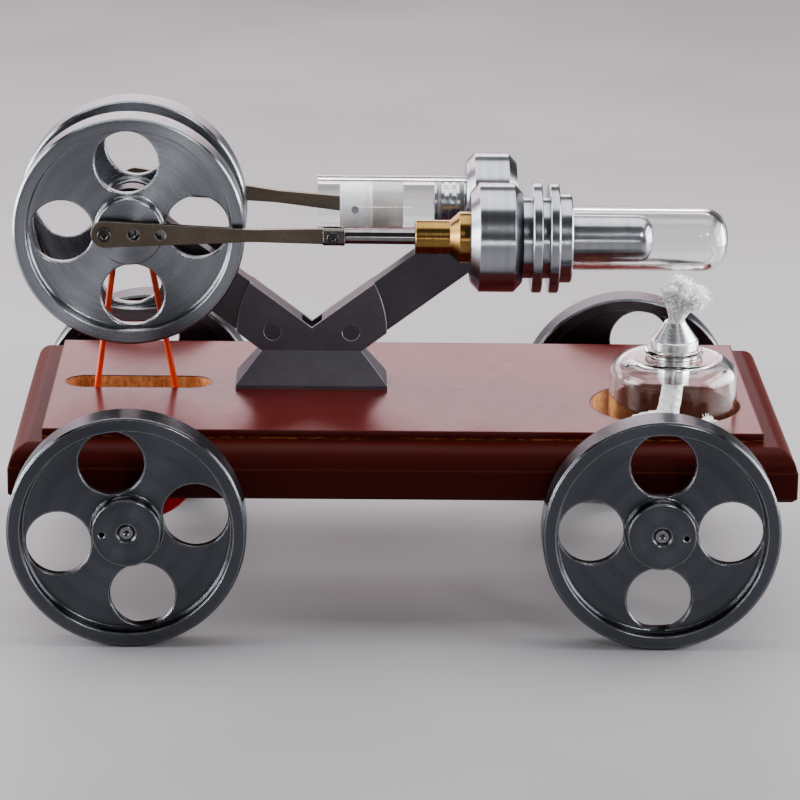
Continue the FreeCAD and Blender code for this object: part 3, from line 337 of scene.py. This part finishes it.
# ---- glass, rubber, cotton ----------------------------------------------------------------------
def clear_glass(name, tint, ripple_depth):
    """Clear glass with the faint ripple of drawn tube."""
    n = Nodes(name)
    place = n.place()
    ripple = n.noise(n.stretched(place, 0.05, 0.35, 0.35), 1.0, 2.0, 0.5)
    haze = n.noise(place, 0.25, 3.0, 0.6)
    glass = n.shader(Base_Color=tint, Roughness=n.span(haze, 0.0, 0.03, 0.45, 0.8),
                     Transmission_Weight=1.0, IOR=1.46,
                     Normal=n.bump(ripple, ripple_depth, 0.0004))
    # Lamps shine through the glass instead of leaving it a black shadow.
    clear = n.new("ShaderNodeBsdfTransparent")
    clear.inputs[0].default_value = (0.93, 0.94, 0.94, 1.0)
    path = n.new("ShaderNodeLightPath")
    both = n.new("ShaderNodeMixShader")
    n.link(path.outputs["Is Shadow Ray"], both.inputs[0])
    n.link(glass.outputs[0], both.inputs[1])
    n.link(clear.outputs[0], both.inputs[2])
    n.link(both.outputs[0], n.out.inputs[0])
    return n.material


def ground_glass():
    """Glass ground to a fine white frost, with faint turning lines."""
    n = Nodes("ground_glass")
    place = n.place()
    grit = n.noise(place, 9.0, 3.0, 0.7)
    lines = n.noise(n.stretched(place, 4.0, 0.05, 0.05), 1.0, 3.0, 0.6)
    tone = n.ramp(lines, [(0.3, (0.80, 0.82, 0.84)), (0.7, (0.93, 0.94, 0.95))])
    # Clearer at its closed half, with a painted highlight: a bright white line where the frost
    # stops.
    along = n.split(place)[0]
    middle_x = middle("power_piston")[0]
    clearer = n.span(along, 0.0, 1.0, middle_x - 0.3, middle_x + 0.3)
    tone = n.mix(n.math("MULTIPLY", clearer, 0.75), tone, (0.60, 0.56, 0.53))
    off_line = n.math("ABSOLUTE", n.math("SUBTRACT", along, middle_x))
    # Painted highlight: a white line along the frost's edge.
    tone = n.mix(n.span(off_line, 1.0, 0.0, 0.15, 0.45), tone, (1.0, 1.0, 1.0))
    n.shader(Base_Color=tone, Roughness=n.span(grit, 0.38, 0.6),
             Transmission_Weight=n.span(clearer, 0.12, 0.40),
             IOR=1.46, Normal=n.bump(grit, 0.25, 0.00005), Subsurface_Weight=0.35,
             Subsurface_Scale=0.002)
    return n.material


def rubber(name, colour, rough, grain):
    """Moulded rubber or silicone with a fine skin."""
    n = Nodes(name)
    place = n.place()
    skin = n.noise(place, grain, 4.0, 0.6)
    cloud = n.noise(place, 0.2, 2.0, 0.5)
    tone = n.ramp(cloud, [(0.3, tuple(c * 0.85 for c in colour)), (0.7, colour)])
    n.shader(Base_Color=tone, Roughness=n.span(skin, rough * 0.8, rough * 1.2),
             Normal=n.bump(skin, 0.2, 0.00005))
    return n.material


def cotton():
    """Soft white cotton fibre."""
    n = Nodes("cotton")
    place = n.place()
    fibre = n.noise(n.stretched(place, 4.0, 4.0, 1.2), 1.0, 5.0, 0.7)
    cloud = n.noise(place, 0.35, 3.0, 0.6)
    tone = n.ramp(cloud, [(0.25, (0.92, 0.91, 0.91)), (0.5, (0.97, 0.97, 0.97)),
                          (0.75, (1.0, 1.0, 1.0))])
    n.shader(Base_Color=tone, Roughness=n.span(fibre, 0.75, 1.0), Sheen_Weight=0.6,
             Sheen_Roughness=0.5, Subsurface_Weight=0.5, Subsurface_Scale=0.0012,
             Subsurface_Radius=(1.0, 1.0, 1.0), Normal=n.bump(fibre, 0.6, 0.00012))
    return n.material


# ---- wick ---------------------------------------------------------------------------------------
def smooth(obj):
    for polygon in obj.data.polygons:
        polygon.use_smooth = True


def add_mesh(name, bm):
    mesh = bpy.data.meshes.new(name)
    bm.to_mesh(mesh)
    bm.free()
    obj = bpy.data.objects.new(name, mesh)
    bpy.context.scene.collection.objects.link(obj)
    smooth(obj)
    return obj


def tube_through(bm, points, radii, sides):
    """Sweep a ring through the points; radii has one number for each."""
    rings = []
    side = None
    for k, point in enumerate(points):
        ahead = points[min(k + 1, len(points) - 1)] - points[max(k - 1, 0)]
        ahead.normalize()
        if side is None:
            side = ahead.orthogonal().normalized()
        side = (side - ahead * side.dot(ahead)).normalized()
        other = ahead.cross(side)
        ring = []
        for j in range(sides):
            turn = 2 * math.pi * j / sides
            ring.append(bm.verts.new(point + radii[k] * (side * math.cos(turn)
                                                         + other * math.sin(turn))))
        rings.append(ring)
    for a, b in zip(rings, rings[1:]):
        for j in range(sides):
            bm.faces.new((a[j], a[(j + 1) % sides], b[(j + 1) % sides], b[j]))
    bm.faces.new(list(reversed(rings[0])))
    bm.faces.new(rings[-1])


def wick_path():
    """Centre line of the wick: round the front of the bottle's floor, then up to the holder."""
    z0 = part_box("wick")[0][2] + 0.0030
    x, y, loop = 0.0712, -0.0155, 0.0096
    mouth = 0.0732
    rise_start = z0 + 0.0110
    first, sweep, steps, rise_steps = 352, 152, 16, 17
    points = []
    for k in range(steps + 1):
        turn = math.radians(first - sweep * k / steps)
        points.append(Vector((x + loop * math.cos(turn), y + loop * math.sin(turn),
                              z0 - 0.0001)))
    # A given bend lifts it off the floor.
    for dx, dy, dz in ((-0.0082, 0.0000, 0.0000), (-0.0060, 0.0017, 0.0000),
                       (-0.0034, 0.0014, 0.0004), (-0.0016, 0.0006, 0.0018),
                       (-0.0009, 0.0002, 0.0040), (-0.0005, 0.0, 0.0070)):
        points.append(Vector((x + dx, y + dy, z0 + dz)))
    for k in range(rise_steps + 1):
        points.append(Vector((x, y, rise_start + k * (mouth - rise_start) / rise_steps)))
    return points


def any_direction(rng):
    """A unit vector that may point anywhere."""
    out = Vector((rng.gauss(0, 1), rng.gauss(0, 1), rng.gauss(0, 1)))
    out.normalize()
    return out


def inside(lump, out, reach):
    """A point in a lump: its middle plus a part of its half sizes along a direction."""
    centre, half = lump
    return centre + Vector((out.x * half.x, out.y * half.y, out.z * half.z)) * reach


def add_clump(bm, spot, radius, rng):
    """A lumpy ball of packed fibres."""
    made = bmesh.ops.create_icosphere(bm, subdivisions=3, radius=radius)
    seed = Vector((rng.uniform(0, 50), rng.uniform(0, 50), rng.uniform(0, 50)))
    for vert in made["verts"]:
        swell = 1.0 + 0.34 * noise.noise(vert.co * 900.0 + seed)
        swell += 0.16 * noise.noise(vert.co * 2600.0 + seed)
        vert.co = spot + vert.co * swell


def add_tuft(base, material, rng):
    """The frayed end: soft yarns that bunch in two lumps and curl over, in a haze of fibres."""
    lumps = [(Vector((0.0008, 0.0, 0.0079)), Vector((0.0045, 0.0043, 0.0038))),
             (Vector((0.0052, -0.0006, 0.0064)), Vector((0.0036, 0.0036, 0.0030)))]
    lump_clumps, neck_clumps = 64, 7
    yarns, hairs = 600, 500
    root_radius = 0.0014
    bm = bmesh.new()
    for k in range(lump_clumps):
        lump = lumps[0 if rng.random() < 0.60 else 1]
        out = any_direction(rng)
        reach = rng.uniform(0.1, 0.80)
        add_clump(bm, base + inside(lump, out, reach), rng.uniform(0.0010, 0.0017), rng)
    for k in range(neck_clumps):
        add_clump(bm, base + Vector((rng.uniform(-0.0008, 0.0012), rng.uniform(-0.001, 0.001),
                                     0.0006 + 0.0007 * k)), rng.uniform(0.0014, 0.0019), rng)
    for k in range(yarns + hairs):
        thick = k < yarns
        turn = rng.uniform(0, 2 * math.pi)
        inner = root_radius * math.sqrt(rng.random())
        root = base + Vector((inner * math.cos(turn), inner * math.sin(turn), -0.0015))
        lump = lumps[0 if rng.random() < 0.62 else 1]
        out = any_direction(rng)
        reach = rng.uniform(0.50, 0.94) if thick else rng.uniform(0.65, 1.10)
        target = base + inside(lump, out, reach)
        curl = Vector((rng.uniform(-1, 1), rng.uniform(-1, 1), rng.uniform(-1, 0.5)))
        end = target + curl * (0.0022 if thick else 0.0013)
        lean = 0.25 * (target.x - base.x)
        rise = root + Vector((lean, 0.0, 0.0030 + 0.25 * (target.z - root.z)))
        bow = target + out * 0.0011 + Vector((0, 0, 0.0006))
        width = rng.uniform(0.00011, 0.00024) if thick else rng.uniform(0.00003, 0.00006)
        phase = rng.uniform(0, 6.28)
        steps = 12
        points = []
        radii = []
        for j in range(steps + 1):
            t = j / steps
            u = 1.0 - t
            point = (root * u ** 3 + rise * (3 * u * u * t) + bow * (3 * u * t * t)
                     + end * t ** 3)
            point += Vector((math.sin(phase + 9 * t), math.cos(phase + 8 * t), 0)) * (0.00030 * t)
            points.append(point)
            radii.append(width * (1.0 + 0.2 * math.sin(phase + 17 * t)) * (1.0 - 0.45 * t * t))
        tube_through(bm, points, radii, 7 if thick else 4)
    tuft = add_mesh("wick_tuft", bm)
    tuft.data.materials.append(material)
    return tuft


def add_frays(base, material, rng):
    """Short loose threads at the wick's lower end."""
    threads = 46
    bm = bmesh.new()
    for k in range(threads):
        turn = rng.uniform(0, 2 * math.pi)
        inner = math.sqrt(rng.random())
        root = base + Vector((0.0, 0.0022 * inner * math.cos(turn),
                              0.0020 * inner * math.sin(turn)))
        reach = Vector((rng.uniform(-0.0010, 0.0014), rng.uniform(0.001, 0.0045),
                        rng.uniform(0.0, 0.0016)))
        width = rng.uniform(0.00010, 0.00030)
        points = [root + reach * (j / 5) + Vector((0, 0, 0.0005 * math.sin(j * 0.9 + turn)))
                  for j in range(6)]
        tube_through(bm, points, [width * (1.0 - 0.12 * j) for j in range(6)], 5)
    frays = add_mesh("wick_frays", bm)
    frays.data.materials.append(material)
    return frays


def add_wick(material):
    """A braided cord with a frayed end: eight crossing strands over a core, then loose fibres."""
    radius, neck_radius = 0.0028, 0.0019
    neck, taper = 0.0045, 0.003
    strands, pitch = 8, 0.0082
    rng = random.Random(7)
    path = wick_path()
    dense = []
    for a, b in zip(path, path[1:]):
        for k in range(4):
            dense.append(a.lerp(b, k / 4))
    dense.append(path[-1])
    lengths = [0.0]
    for a, b in zip(dense, dense[1:]):
        lengths.append(lengths[-1] + (b - a).length)
    total = lengths[-1]

    def girth(s):
        """The cord's radius at a distance along it: full, then squeezed in the holder's mouth."""
        left = total - s
        if left < neck:
            return neck_radius
        if left < neck + taper:
            return neck_radius + (left - neck) / taper * (radius - neck_radius)
        return radius

    bm = bmesh.new()
    tube_through(bm, dense, [girth(s) * 0.72 for s in lengths], 10)
    frames = []
    side = None
    for k, point in enumerate(dense):
        ahead = dense[min(k + 1, len(dense) - 1)] - dense[max(k - 1, 0)]
        ahead.normalize()
        if side is None:
            side = ahead.orthogonal().normalized()
        side = (side - ahead * side.dot(ahead)).normalized()
        frames.append((side, ahead.cross(side)))
    for strand in range(strands):
        way = 1 if strand % 2 else -1
        start = 2 * math.pi * (strand // 2) / 4 + (0.4 if way > 0 else 0)
        points = []
        radii = []
        for point, s, (a, b) in zip(dense, lengths, frames):
            turn = start + way * s / pitch * 2 * math.pi
            lift = 0.00018 * math.cos(2 * turn)
            r = girth(s) * 0.74 + lift
            points.append(point + r * (a * math.cos(turn) + b * math.sin(turn)))
            radii.append(girth(s) * 0.30)
        tube_through(bm, points, radii, 7)
    cord = add_mesh("wick_cord", bm)
    cord.data.materials.append(material)

    tuft = add_tuft(dense[-1], material, rng)
    ends = add_frays(dense[0], material, rng)
    for piece in (cord, tuft, ends):
        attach(piece, "chassis")
    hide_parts("wick")


# ---- studio -------------------------------------------------------------------------------------
def add_floor():
    """A pale floor that curves up into the backdrop."""
    reach, back, curve, steps = 3.0, 0.9, 0.6, 12
    gap = 0.0002
    bm = bmesh.new()
    profile = [(-reach, 0.0), (back, 0.0)]
    for k in range(1, steps + 1):
        turn = math.pi / 2 * k / steps
        profile.append((back + curve * math.sin(turn), curve - curve * math.cos(turn)))
    profile.append((back + curve, reach))
    rows = []
    for y, z in profile:
        rows.append([bm.verts.new((x, y, z - gap)) for x in (-reach, reach)])
    for a, b in zip(rows, rows[1:]):
        bm.faces.new((a[0], a[1], b[1], b[0]))
    floor = add_mesh("floor", bm)
    n = Nodes("floor")
    place = n.place()
    soft = n.noise(place, 0.01, 2.0, 0.5)
    tone = n.ramp(soft, [(0.3, (0.355, 0.350, 0.365)), (0.7, (0.400, 0.395, 0.410))])
    n.shader(Base_Color=tone, Roughness=0.55)
    floor.data.materials.append(n.material)


WHITE = (1.0, 1.0, 1.0)
PINK = (1.0, 0.76, 0.80)
LIGHTS = [
    # name, place, target, size, watts, colour
    ("top", (0.0, 0.15, 0.85), (0.0, 0.0, 0.05), (1.3, 0.8), 7.0, WHITE),
    ("rim", (-0.30, 0.85, 0.33), (-0.05, 0.0, 0.06), (1.35, 0.30), 2.70, PINK),
    ("edge", (-0.20, 0.80, 0.52), (0.0, 0.0, 0.09), (1.0, 0.08), 1.6, WHITE),
    ("left", (-0.75, 0.0, 0.30), (0.0, 0.0, 0.07), (0.75, 0.50), 5.0, WHITE),
    ("right", (0.75, 0.0, 0.30), (0.0, 0.0, 0.07), (0.75, 0.50), 5.5, WHITE),
    ("backdrop", (-0.9, 0.75, 0.75), (-0.7, 1.4, 0.4), (1.0, 0.3), 3.2, WHITE),
    ("card_left", (-0.36, 0.05, 0.09), (0.0, 0.0, 0.08), (0.40, 0.16), 0.95, WHITE),
    ("card_right", (0.36, 0.05, 0.09), (0.0, 0.0, 0.08), (0.40, 0.16), 1.0, WHITE),
    ("low_front", (0.06, -1.25, 0.14), (0.0, 0.0, 0.08), (0.12, 0.12), 0.40, WHITE),
    ("front", (0.50, -1.20, 0.85), (0.0, 0.0, 0.08), (0.25, 0.25), 3.4, WHITE),
]


def add_light(name, place, target, size, power, colour):
    """A soft rectangular lamp that the camera doesn't see."""
    data = bpy.data.lights.new(name, "AREA")
    data.shape = "RECTANGLE"
    data.size, data.size_y = size
    data.energy = power
    data.color = colour
    light = bpy.data.objects.new(name, data)
    bpy.context.scene.collection.objects.link(light)
    light.location = place
    aim = Vector(target) - Vector(place)
    light.rotation_euler = aim.to_track_quat("-Z", "Y").to_euler()
    light.visible_camera = False


def add_studio():
    """Floor, dim world, lamps and the view's tone curve."""
    add_floor()
    world = bpy.data.worlds.new("studio")
    bpy.context.scene.world = world
    world.use_nodes = True
    background = world.node_tree.nodes["Background"]
    background.inputs[0].default_value = (0.80, 0.82, 0.88, 1.0)
    background.inputs[1].default_value = 0.11
    for row in LIGHTS:
        add_light(*row)
    view = bpy.context.scene.view_settings
    view.view_transform = "AgX"
    view.look = "AgX - Medium High Contrast"


# ---- put the materials on -----------------------------------------------------------------------
def paint(names, material):
    """Give each node one material."""
    for name in names:
        node = nodes[name]
        node.data.materials.clear()
        node.data.materials.append(material)


TURNED = [
    # nodes, colour, roughness, mark size, mark depth, anisotropy, axis, width of the edges
    # Painted shade: the road wheels are the same turned aluminium as the flywheels, given a much
    # darker colour as a shaded copy.
    (["wheel_front_left", "wheel_rear_left", "wheel_front_right", "wheel_rear_right"],
     (0.103, 0.108, 0.122), 0.25, 0.22, 0.30, 0.80, "Y", 0.36),
    (["flywheel_front", "flywheel_rear"],
     (0.33, 0.345, 0.37), 0.25, 0.22, 0.30, 0.80, "Y", 0.36),
    (["crank_pulley", "crank_spacer", "drive_axle_spacers", "idler_axle_spacers"],
     (0.66, 0.67, 0.69), 0.25, 0.3, 0.25, 0.5, "Y", 0.22),
    (["front_cylinder_cap", "rear_cylinder_cap", "cooling_fins"],
     (0.41, 0.42, 0.45), 0.21, 0.18, 0.22, 0.3, "X", 0.22),
    (["power_cylinder_plug"], (0.60, 0.60, 0.63), 0.22, 0.2, 0.2, 0.4, "X", 0.22),
    (["displacer_piston", "displacer_plug"],
     (0.41, 0.41, 0.44), 0.19, 0.4, 0.06, 0.2, "X", 0.22),
    (["displacer_rod"], (0.26, 0.245, 0.25), 0.13, 0.4, 0.08, 0.3, "X", 0.22),
    (["guide_bush"], (0.325, 0.200, 0.074), 0.24, 0.3, 0.2, 0.5, "X", 0.22),
    (["wick_holder"], (0.95, 0.96, 0.97), 0.24, 0.3, 0.2, 0.5, "Z", 0.22),
    (["crankshaft", "drive_axle", "idler_axle"],
     (0.24, 0.24, 0.25), 0.22, 0.3, 0.2, 0.4, "Y", 0.22),
    (["transfer_tube"], (0.6, 0.6, 0.62), 0.25, 0.3, 0.2, 0.3, "Y", 0.22),
    (["axle_pulley"], (0.62, 0.03, 0.02), 0.28, 0.3, 0.15, 0.3, "Y", 0.22),
]


def turned(names, colour, rough, mark_size, mark_depth, anisotropic, axis, edge_mm):
    """Give each node its own turned metal, centred on its own axis."""
    for name in names:
        centre = middle(name)
        del centre["XYZ".index(axis)]
        paint([name], turned_metal(name + "_metal", axis, tuple(centre), colour, rough, mark_size,
                                   mark_depth, anisotropic, edge_mm))


add_camera()
add_studio()

for row in TURNED:
    turned(*row)

steel = plain_metal("steel", (0.50, 0.50, 0.52), 0.24, 1.6, (1.0, 1.0, 1.0))
paint(["stand_screws", "axle_block_screws", "axle_pulley_screw",
       "crank_bearing_outer_rings", "crank_bearing_inner_rings", "crank_bearing_balls",
       "axle_bearing_outer_rings", "axle_bearing_balls",
       "drive_axle_bearing_inner_rings", "idler_axle_bearing_inner_rings",
       "front_crank_pin", "rear_crank_pin", "wrist_pin"], steel)
paint(["front_crank_screw", "rear_crank_screw", "clevis_pin"],
      plain_metal("dark_steel", (0.085, 0.080, 0.080), 0.24, 1.6, (1.0, 1.0, 1.0)))
paint(["displacer_clevis"],
      plain_metal("clevis_steel", (0.165, 0.150, 0.140), 0.28, 1.6, (1.0, 1.0, 1.0), edge_wear_and_highlight=0.9))
paint(["displacer_con_rod", "power_con_rod"],
      plain_metal("rod_metal", (0.210, 0.175, 0.135), 0.33, 1.0, (1.2, 2.0, 2.4), edge_wear_and_highlight=0.8,
                  edge_wear_and_highlight_colour=(0.62, 0.57, 0.50)))
paint(["stand_block", "axle_bearing_blocks"],
      plain_metal("stand_metal", (0.150, 0.138, 0.162), 0.38, 2.6, (1.0, 1.0, 1.0), metallic=0.60,
                  edge_wear_and_highlight=1.0, edge_wear_and_highlight_colour=(0.80, 0.80, 0.83), edge_mm=0.38))
paint(["crank_arm", "cylinder_arm", "arm_screws"],
      plain_metal("arm_metal", (0.120, 0.112, 0.128), 0.36, 2.6, (1.0, 1.0, 1.0), metallic=0.7,
                  edge_wear_and_highlight=0.6, edge_wear_and_highlight_colour=(0.50, 0.50, 0.53)))
paint(["base_board"], lacquered_board())
paint(["drive_belt"], rubber("belt_rubber", (0.80, 0.075, 0.020), 0.40, 3.0))
paint(["hot_tube_seal"], rubber("seal_rubber", (0.020, 0.020, 0.022), 0.5, 3.0))
paint(["plug_seals"], rubber("clear_silicone", (0.30, 0.29, 0.31), 0.30, 3.0))
paint(["hot_tube", "power_cylinder"], clear_glass("tube_glass", (0.98, 0.99, 0.99), 0.03))
paint(["lamp_bottle"], clear_glass("bottle_glass", (0.96, 0.98, 0.98), 0.10))
paint(["power_piston"], ground_glass())
cotton_material = cotton()
paint(["wick"], cotton_material)
add_wick(cotton_material)
